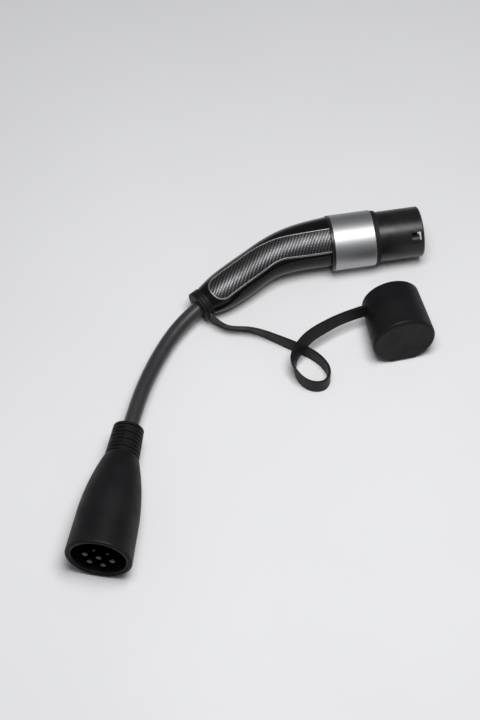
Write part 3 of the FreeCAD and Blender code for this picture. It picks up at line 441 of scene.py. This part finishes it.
def make_cable():
    curve = bpy.data.curves.new("cable_sheath", "CURVE")
    curve.dimensions = "3D"
    spline = curve.splines.new("NURBS")
    spline.points.add(len(CABLE_ROUTE) - 1)
    for point, place in zip(spline.points, CABLE_ROUTE):
        point.co = (*place, 1)
        point.radius = CABLE_RADIUS * MM
    spline.order_u = 3
    spline.use_endpoint_u = True
    curve.resolution_u = 24
    curve.bevel_depth = 1
    curve.bevel_resolution = 10
    curve.use_fill_caps = True
    piece = add_object("cable_sheath", curve)
    stand_for(piece, "cable", "cable_sheath")


# Helpers for meshes
def mesh_piece(name, points, faces, node, look, sharp=35):
    """A mesh that stands for a CAD node, smooth where faces meet at less than the sharp angle."""
    mesh = bpy.data.meshes.new(name)
    mesh.from_pydata([tuple(point) for point in points], [], faces)
    mesh.validate()
    work = bmesh.new()
    work.from_mesh(mesh)
    bmesh.ops.recalc_face_normals(work, faces=work.faces)
    work.to_mesh(mesh)
    work.free()
    mesh.shade_smooth()
    mesh.set_sharp_from_angle(angle=math.radians(sharp))
    piece = add_object(name, mesh)
    stand_for(piece, node, look)
    return piece


def tube_faces(rows, width, closed):
    """Quads between rows of points that each go round, and caps at the ends of an open tube."""
    faces = []
    for row in range(rows if closed else rows - 1):
        here = row * width
        ahead = (row + 1) % rows * width
        for column in range(width):
            beside = (column + 1) % width
            faces.append((here + column, here + beside, ahead + beside, ahead + column))
    if not closed:
        for row in (0, rows - 1):
            faces.append([row * width + column for column in range(width)])
    return faces


def rounded(corners, steps):
    """A line through corners, each rounded by its radius with points along the arc."""
    line = []
    for number, (corner, radius) in enumerate(corners):
        if radius == 0:
            line.append(corner)
            continue
        before = (corners[number - 1][0] - corner).normalized()
        after = (corners[(number + 1) % len(corners)][0] - corner).normalized()
        half = before.angle(after) / 2
        setback = radius / math.tan(half)
        centre = corner + (before + after).normalized() * (radius / math.sin(half))
        first = (corner + before * setback - centre).normalized()
        last = (corner + after * setback - centre).normalized()
        for step in range(steps + 1):
            line.append(centre + first.slerp(last, step / steps) * radius)
    return line


# The handle's bent axis and its round sections, in the plug's frame in millimetres
TANGENT = BEND_RADIUS * math.tan(math.radians(BEND_ANGLE) / 2)
OUT = Vector((-math.sin(math.radians(BEND_ANGLE)), math.cos(math.radians(BEND_ANGLE)), 0))
ALONG_NECK = Vector((-math.cos(math.radians(BEND_ANGLE)), -math.sin(math.radians(BEND_ANGLE)), 0))
VERTEX = Vector((BEND_VERTEX, 0, 0))
LOFT_START = RING_BACK - BACK_RING_LENGTH
BEND_START = RING_BACK - (BEND_VERTEX + TANGENT)
BEND_END = BEND_START + BEND_RADIUS * math.radians(BEND_ANGLE)
NECK_START = BEND_END - TANGENT
NECK_END = NECK_START + NECK_REACH

# Each section: distance behind the ring, radius, offset to the outside of the bend
SECTIONS = [
    (BACK_RING_LENGTH, 27.1, 2.5),
    (14.0, 26.6, 1.9),
    (28.0, 25.7, 1.1),
    (47.5, 24.2, 0.3),
    (71.0, 21.9, -0.4),
    (95.0, 21.3, -1.6),
    (NECK_END - 34.9, 21.4, -1.5),
    (NECK_END - 21.9, 20.5, -1.2),
    (NECK_END - 11.9, 18.9, -0.8),
    (NECK_END - 4.9, 17.2, -0.3),
    (NECK_END, 15.9, 0.0),
]


def smooth_curve(knots, values):
    """A natural cubic through the values at the knots, as a function."""
    gaps = np.diff(knots)
    slopes = np.diff(values) / gaps
    count = len(knots)
    matrix = np.eye(count)
    right = np.zeros(count)
    for i in range(1, count - 1):
        matrix[i, i - 1:i + 2] = gaps[i - 1], 2 * (gaps[i - 1] + gaps[i]), gaps[i]
        right[i] = 6 * (slopes[i] - slopes[i - 1])
    bends = np.linalg.solve(matrix, right)

    def value(at):
        i = int(np.clip(np.searchsorted(knots, at) - 1, 0, count - 2))
        gap = gaps[i]
        before = knots[i + 1] - at
        after = at - knots[i]
        curved = (bends[i] * before ** 3 + bends[i + 1] * after ** 3) / (6 * gap)
        start = (values[i] / gap - bends[i] * gap / 6) * before
        end = (values[i + 1] / gap - bends[i + 1] * gap / 6) * after
        return float(curved + start + end)

    return value


SECTION_PLACES = [section[0] for section in SECTIONS]
radius_at = smooth_curve(SECTION_PLACES, [section[1] for section in SECTIONS])
offset_at = smooth_curve(SECTION_PLACES, [section[2] for section in SECTIONS])


def axis_at(distance):
    """Point on the bent axis at a distance behind the ring, and the direction across it."""
    if distance <= BEND_START:
        return Vector((RING_BACK - distance, 0, 0)), Vector((0, 1, 0))
    if distance <= BEND_END:
        angle = (distance - BEND_START) / BEND_RADIUS
        x = BEND_VERTEX + TANGENT - BEND_RADIUS * math.sin(angle)
        y = -BEND_RADIUS * (1 - math.cos(angle))
        return Vector((x, y, 0)), Vector((-math.sin(angle), math.cos(angle), 0))
    return VERTEX + ALONG_NECK * (distance - NECK_START), OUT


def locate(point):
    """Distance behind the ring and offset across the bent axis of a point in the plug's plane."""
    away = point - Vector((BEND_VERTEX + TANGENT, -BEND_RADIUS, 0))
    angle = math.atan2(-away.x, away.y)
    if angle <= 0:
        return RING_BACK - point.x, point.y
    if angle >= math.radians(BEND_ANGLE):
        return NECK_START + (point - VERTEX).dot(ALONG_NECK), (point - VERTEX).dot(OUT)
    return BEND_START + BEND_RADIUS * angle, away.length - BEND_RADIUS


def skin(point, side, growth=0.0):
    """The handle's surface over a point of the plug's plane, and the way out of it."""
    distance, offset = locate(point)
    radius = radius_at(distance) + growth
    sideways = offset - offset_at(distance)
    height = math.sqrt(max(0.0, radius ** 2 - sideways ** 2))
    across = axis_at(distance)[1]
    outward = (across * sideways + Vector((0, 0, side * height))) / radius
    return Vector((point.x, point.y, side * height)), outward


# Outline of the grip panel, as in the part's source: edges, end at the neck, and rounds
PANEL_TOP = 5.5
PANEL_BOTTOM = -18.0
PANEL_NECK_TOP = 11.7
PANEL_NECK_BOTTOM = -15.2
PANEL_END = 91.2
PANEL_TOP_ROUND = 95.0
PANEL_BOTTOM_ROUND = 42.0
PANEL_END_ROUND = 12.8
OUTLINE_UNDER_RING = 3.0
OUTLINE_ARC_STEPS = 24


def grip_outline(growth):
    """Points round the grip panel's outline, from its top front corner to its bottom front corner."""
    def bend_corner(level, offset):
        point = VERTEX + OUT * offset
        return point + ALONG_NECK * ((level - point.y) / ALONG_NECK.y)

    front = LOFT_START + OUTLINE_UNDER_RING
    top = PANEL_TOP + growth
    bottom = PANEL_BOTTOM - growth
    neck_top = PANEL_NECK_TOP + growth
    neck_bottom = PANEL_NECK_BOTTOM - growth
    end = VERTEX + ALONG_NECK * (PANEL_END + growth)
    end_round = PANEL_END_ROUND + growth
    corners = [
        (Vector((front, top, 0)), 0),
        (bend_corner(top, neck_top), PANEL_TOP_ROUND + growth),
        (end + OUT * neck_top, end_round),
        (end + OUT * neck_bottom, end_round),
        (bend_corner(bottom, neck_bottom), PANEL_BOTTOM_ROUND - growth),
        (Vector((front, bottom, 0)), 0),
    ]
    return rounded(corners, OUTLINE_ARC_STEPS)


def span_across(outline, distance):
    """The least and greatest offsets at which the line across the axis meets the outline."""
    centre, across = axis_at(distance)
    along = Vector((-across.y, across.x, 0))
    offsets = []
    for start, end in zip(outline, outline[1:]):
        start_side = (start - centre).dot(along)
        end_side = (end - centre).dot(along)
        if start_side * end_side <= 0 and start_side != end_side:
            point = start + (end - start) * (start_side / (start_side - end_side))
            offsets.append((point - centre).dot(across))
    return min(offsets), max(offsets)


# Two families of straight grooves cross the panel: direction across them, pitch and strength
WEAVE = (
    (-27.5, 3.08, 0.9),
    (40.5, 2.53, 0.45),
)
WEAVE_DEPTH = 0.15


def weave(point):
    """Depth of the panel's grooves at a point of the plug's plane, from 0 to 1."""
    left = 1.0
    for degrees, pitch, strength in WEAVE:
        angle = math.radians(degrees)
        across = point.x * math.cos(angle) + point.y * math.sin(angle)
        depth = 0.5 - 0.5 * math.cos(2 * math.pi * across / pitch)
        left *= 1 - strength * depth
    return 1 - left


# The panel's mesh: how far it stays inside its outline, thickness, and how fine its grid is
PANEL_INSET = 0.63
PANEL_FRONT_GAP = 0.02
PANEL_END_GAP = 0.01
PANEL_THICKNESS = 0.7
PANEL_ROW_PITCH = 0.38
PANEL_END_ROWS = 35
PANEL_COLUMNS = 64


def panel_stations():
    """Distances of the panel's rows behind the ring: even at first, then closer round its end."""
    end_reach = PANEL_END_ROUND - PANEL_INSET
    front = BACK_RING_LENGTH + PANEL_FRONT_GAP
    straight = NECK_START + PANEL_END - PANEL_INSET - end_reach - front
    rows = int(straight / PANEL_ROW_PITCH)
    stations = [front + straight * row / rows for row in range(rows)]
    for row in range(PANEL_END_ROWS):
        angle = math.radians(90 * row / (PANEL_END_ROWS - 1))
        stations.append(front + straight + end_reach * math.sin(angle) - PANEL_END_GAP)
    return stations


def panel_faces(rows):
    """Quads of the woven top, the narrow sides and the back, and a cap at each end."""
    width = PANEL_COLUMNS + 1
    back = rows * width
    faces = []
    for row in range(rows - 1):
        here = row * width
        ahead = here + width
        for column in range(PANEL_COLUMNS):
            faces.append((here + column, here + column + 1, ahead + column + 1, ahead + column))
        near = back + 2 * row
        far = near + 2
        faces.append((near, near + 1, far + 1, far))
        faces.append((here, ahead, far, near))
        faces.append((here + PANEL_COLUMNS, ahead + PANEL_COLUMNS, far + 1, near + 1))
    for row in (0, rows - 1):
        top = [row * width + column for column in range(width)]
        faces.append(top + [back + 2 * row + 1, back + 2 * row])
    return faces


def make_panel(side, name):
    """Woven grip panel: a fine grid on the handle's skin, closed underneath."""
    outline = grip_outline(-PANEL_INSET)
    stations = panel_stations()
    under = Vector((0, 0, side * PANEL_THICKNESS))
    top = []
    back = []
    groove_shade = []
    for distance in stations:
        low, high = span_across(outline, distance)
        centre, across = axis_at(distance)
        row = []
        for column in range(PANEL_COLUMNS + 1):
            flat = centre + across * (low + (high - low) * column / PANEL_COLUMNS)
            place, outward = skin(flat, side)
            depth = weave(flat)
            groove_shade.append(depth)
            row.append(place - outward * (WEAVE_DEPTH * depth))
        top += row
        back += [row[0] - under, row[-1] - under]
    points = [PLUG @ (point * MM) for point in top + back]
    faces = panel_faces(len(stations))
    node = f"grip_panel_{name}"
    piece = mesh_piece(f"woven_panel_{name}", points, faces, node, "silver_grip", sharp=60)
    # The groove attribute carries the weave's depth, which the silver_grip look turns into painted
    # shade.
    groove = piece.data.attributes.new("groove", "FLOAT", "POINT")
    groove.data.foreach_set("value", groove_shade + [1.0] * len(back))


# The trim's mesh: how far its middle lies outside the outline, its rounded section, and its steps
TRIM_OUTSET = 0.15
TRIM_HALF_WIDTH = 0.7
TRIM_PROUD = 0.33
TRIM_CROWN = 0.45
TRIM_THICKNESS = 1.0
TRIM_FRONT_GAP = 0.05
TRIM_STEP = 0.8
TRIM_SHARES = [-1.0, -0.94, -0.8, -0.6, -0.35, -0.12, 0.12, 0.35, 0.6, 0.8, 0.94, 1.0]


def trim_path():
    """Evenly spaced points along the trim, as far as the rear ring."""
    line = grip_outline(TRIM_OUTSET)
    path = [line[0]]
    for point in line[1:]:
        start = path[-1]
        steps = max(1, round((point - start).length / TRIM_STEP))
        path += [start + (point - start) * (step / steps) for step in range(1, steps + 1)]
    return [point for point in path if point.x < LOFT_START - TRIM_FRONT_GAP]


def make_trim(side, name):
    """Bright trim with a rounded top that runs round the grip panel."""
    path = trim_path()
    under = Vector((0, 0, side * TRIM_THICKNESS))
    points = []
    for number, point in enumerate(path):
        ahead = path[min(number + 1, len(path) - 1)] - path[max(number - 1, 0)]
        across = Vector((-ahead.y, ahead.x, 0)).normalized()
        row = []
        for share in TRIM_SHARES:
            sink = TRIM_CROWN * (1 - math.sqrt(1 - share * share))
            row.append(skin(point + across * (TRIM_HALF_WIDTH * share), side, TRIM_PROUD - sink)[0])
        points += row + [row[-1] - under, row[0] - under]
    faces = tube_faces(len(path), len(TRIM_SHARES) + 2, closed=False)
    points = [PLUG @ (point * MM) for point in points]
    node = f"panel_trim_{name}"
    mesh_piece(f"rounded_trim_{name}", points, faces, node, "bright_trim", sharp=50)


# The collar's mesh, a little inside the solid, with a bore that the cable's surface hides
COLLAR_RIM_RADIUS = 13.4
COLLAR_SPIGOT_RADIUS = 11.0
COLLAR_GROOVE_RADIUS = 12.2
COLLAR_INSET = 0.05
COLLAR_INNER_BORE = 7.6
COLLAR_OUTER_BORE = 7.3
COLLAR_RIM_ROUND = 0.4
COLLAR_FACE_ROUND = 0.3
COLLAR_FLANGE_ROUND = 1.2
COLLAR_MOUTH_ROUND = 1.0
COLLAR_ARC_STEPS = 5
COLLAR_STEPS = 96


def collar_profile():
    """Half a section of the collar. Each corner has a place along the neck, a radius and a round."""
    inner = NECK_REACH - NECK_WALL
    rim = inner - COLLAR_RIM_LENGTH
    groove = NECK_REACH + COLLAR_FLANGE
    groove_end = groove + COLLAR_GROOVE
    end = COLLAR_END - COLLAR_INSET
    flange = COLLAR_RADIUS - COLLAR_INSET
    corners = [
        (rim, COLLAR_INNER_BORE, 0),
        (rim, COLLAR_RIM_RADIUS, COLLAR_RIM_ROUND),
        (inner, COLLAR_RIM_RADIUS, COLLAR_RIM_ROUND),
        (inner, COLLAR_SPIGOT_RADIUS, 0),
        (NECK_REACH, COLLAR_SPIGOT_RADIUS, 0),
        (NECK_REACH, flange, COLLAR_FACE_ROUND),
        (groove, flange, COLLAR_FLANGE_ROUND),
        (groove, COLLAR_GROOVE_RADIUS, 0),
        (groove_end, COLLAR_GROOVE_RADIUS, 0),
        (groove_end, flange, COLLAR_FLANGE_ROUND),
        (end, flange, COLLAR_FLANGE_ROUND),
        (end, COLLAR_OUTER_BORE, COLLAR_MOUTH_ROUND),
    ]
    return rounded([(Vector((x, level, 0)), edge) for x, level, edge in corners], COLLAR_ARC_STEPS)


def make_collar():
    """Collar that grips the cable, with softened flanges either side of the eyelet's groove."""
    profile = collar_profile()
    points = []
    for step in range(COLLAR_STEPS):
        angle = 2 * math.pi * step / COLLAR_STEPS
        for corner in profile:
            y = corner.y * math.cos(angle)
            z = corner.y * math.sin(angle)
            points.append(NECK @ (Vector((corner.x, y, z)) * MM))
    faces = tube_faces(COLLAR_STEPS, len(profile), closed=True)
    mesh_piece("sealed_collar", points, faces, "neck_collar", "soft_rubber")


# Camera, at the photograph's viewing angle, in metres and degrees
CAMERA_PLACE = (-0.19518, -1.08729, 1.793)
CAMERA_DOWN = 57.3
CAMERA_TURN = -9.6
CAMERA_LENS = 100
CAMERA_SENSOR = 36
CAMERA_NEAREST = 0.01
CAMERA_FARTHEST = 50


def make_camera():
    data = bpy.data.cameras.new("camera")
    data.lens = CAMERA_LENS
    data.sensor_width = CAMERA_SENSOR
    data.clip_start = CAMERA_NEAREST
    data.clip_end = CAMERA_FARTHEST
    camera = add_object("camera", data)
    camera.location = CAMERA_PLACE
    camera.rotation_euler = (math.radians(90 - CAMERA_DOWN), 0, math.radians(CAMERA_TURN))
    bpy.context.scene.camera = camera


# Floor and light, in metres and watts
FLOOR_SIZE = 8
KEY_PLACE = Vector((0.1, -0.2, 1.5))
KEY_SIZE = (0.8, 0.7)
KEY_POWER = 24
FILL_COLOUR = (0.95, 0.97, 1, 1)
FILL_STRENGTH = 0.17
BACKDROP_COLOUR = (0.68, 0.68, 0.69, 1)

# How far from the middle the floor's fade into the backdrop starts and ends
FADE_START = 0.6
FADE_END = 1.7


def mix_shaders(tree, amount, first, second, output):
    """Sends a mix of two shaders, by an amount of the second, to the output node."""
    mix = tree.nodes.new("ShaderNodeMixShader")
    tree.links.new(amount, mix.inputs[0])
    tree.links.new(first, mix.inputs[1])
    tree.links.new(second, mix.inputs[2])
    tree.links.new(mix.outputs[0], tree.nodes[output].inputs["Surface"])


def fade_into_backdrop(look):
    """Far from the object, camera rays see the backdrop's tone on the floor."""
    distance = look.nodes.new("ShaderNodeVectorMath")
    distance.operation = "LENGTH"
    look.links.new(look.place, distance.inputs[0])
    far = look.remap(distance.outputs["Value"], FADE_START, FADE_END)
    seen = look.nodes.new("ShaderNodeLightPath").outputs["Is Camera Ray"]
    amount = look.product(far, seen)
    backdrop = look.nodes.new("ShaderNodeEmission")
    backdrop.inputs["Color"].default_value = BACKDROP_COLOUR
    tree = look.material.node_tree
    mix_shaders(tree, amount, look.shader.outputs[0], backdrop.outputs[0], "Material Output")


def make_floor():
    bpy.ops.mesh.primitive_plane_add(size=FLOOR_SIZE, location=(0, 0, 0))
    floor = bpy.context.object
    floor.name = "floor"
    look = Look("floor", (0.72, 0.72, 0.73), 0.75)
    look.blend(look.remap(look.noise(3, 4), 0.3, 0.7), (0.70, 0.70, 0.71))
    fade_into_backdrop(look)
    floor.data.materials.append(look.material)


def make_key_light():
    """One broad soft light overhead that faces the object."""
    data = bpy.data.lights.new("key", "AREA")
    data.shape = "RECTANGLE"
    data.size, data.size_y = KEY_SIZE
    data.energy = KEY_POWER
    lamp = add_object("key", data)
    lamp.location = KEY_PLACE
    lamp.rotation_euler = (-KEY_PLACE).to_track_quat("-Z", "Y").to_euler()


def make_world():
    """Faint light from all round, and a pale backdrop that only the camera sees."""
    world = bpy.data.worlds.new("world")
    world.use_nodes = True
    tree = world.node_tree
    fill = tree.nodes["Background"]
    fill.inputs["Color"].default_value = FILL_COLOUR
    fill.inputs["Strength"].default_value = FILL_STRENGTH
    backdrop = tree.nodes.new("ShaderNodeBackground")
    backdrop.inputs["Color"].default_value = BACKDROP_COLOUR
    seen = tree.nodes.new("ShaderNodeLightPath").outputs["Is Camera Ray"]
    mix_shaders(tree, seen, fill.outputs[0], backdrop.outputs[0], "World Output")
    bpy.context.scene.world = world


dress_cad_nodes()
make_cable()
for side, name in ((1, "left"), (-1, "right")):
    make_panel(side, name)
    make_trim(side, name)
make_collar()
make_camera()
make_floor()
make_key_light()
make_world()
bpy.context.scene.view_settings.view_transform = "Standard"
